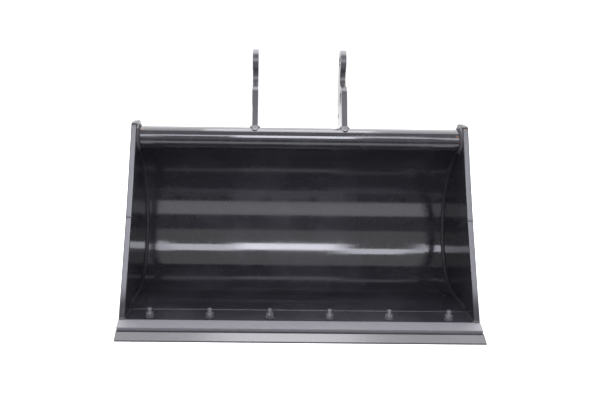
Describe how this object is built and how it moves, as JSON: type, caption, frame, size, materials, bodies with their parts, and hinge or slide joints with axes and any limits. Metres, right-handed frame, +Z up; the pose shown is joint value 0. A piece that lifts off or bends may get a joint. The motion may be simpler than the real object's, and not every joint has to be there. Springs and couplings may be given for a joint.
{
  "type": "excavator bucket",
  "caption": "Wide grading bucket for a small excavator: rolled shell, tapered side plates, top tube, twin hanger ears and a bolt-on wear edge, painted gloss dark grey.",
  "frame": {"origin": "on the ground under the middle of the bounding box, level with the underside of the wear edge and the runners", "axes": "+X along the width, +Y from the mouth to the back, +Z up"},
  "size_m": [1.2, 0.6076, 0.9063],
  "materials": {
    "body_paint": "gloss dark grey two-pack paint over rolled plate and welds",
    "edge_paint": "the same gloss dark grey, thinner and scuffed along the edges",
    "fastener_paint": "gloss dark grey paint over zinc plated steel",
    "bush_steel": "turned and hardened steel bore"
  },
  "bodies": {
    "root": {"shell": "body_paint", "top_tube": "body_paint", "lip_plate": "edge_paint", "bolt_on_edge": "edge_paint", "side_bar_lower_left": "body_paint", "side_bar_upper_left": "body_paint", "side_sheet_left": "body_paint", "ear_left": "body_paint", "bush_front_left": "bush_steel", "bush_rear_left": "bush_steel", "side_bar_lower_right": "body_paint", "side_bar_upper_right": "body_paint", "side_sheet_right": "body_paint", "ear_right": "body_paint", "bush_front_right": "bush_steel", "bush_rear_right": "bush_steel", "plow_bolt_1": "fastener_paint", "hex_nut_1": "fastener_paint", "washer_1": "fastener_paint", "plow_bolt_2": "fastener_paint", "hex_nut_2": "fastener_paint", "washer_2": "fastener_paint", "plow_bolt_3": "fastener_paint", "hex_nut_3": "fastener_paint", "washer_3": "fastener_paint", "plow_bolt_4": "fastener_paint", "hex_nut_4": "fastener_paint", "washer_4": "fastener_paint", "plow_bolt_5": "fastener_paint", "hex_nut_5": "fastener_paint", "washer_5": "fastener_paint", "plow_bolt_6": "fastener_paint", "hex_nut_6": "fastener_paint", "washer_6": "fastener_paint", "runner_1": "edge_paint", "runner_2": "edge_paint", "runner_3": "edge_paint", "runner_4": "edge_paint"}
  },
  "joints": []
}
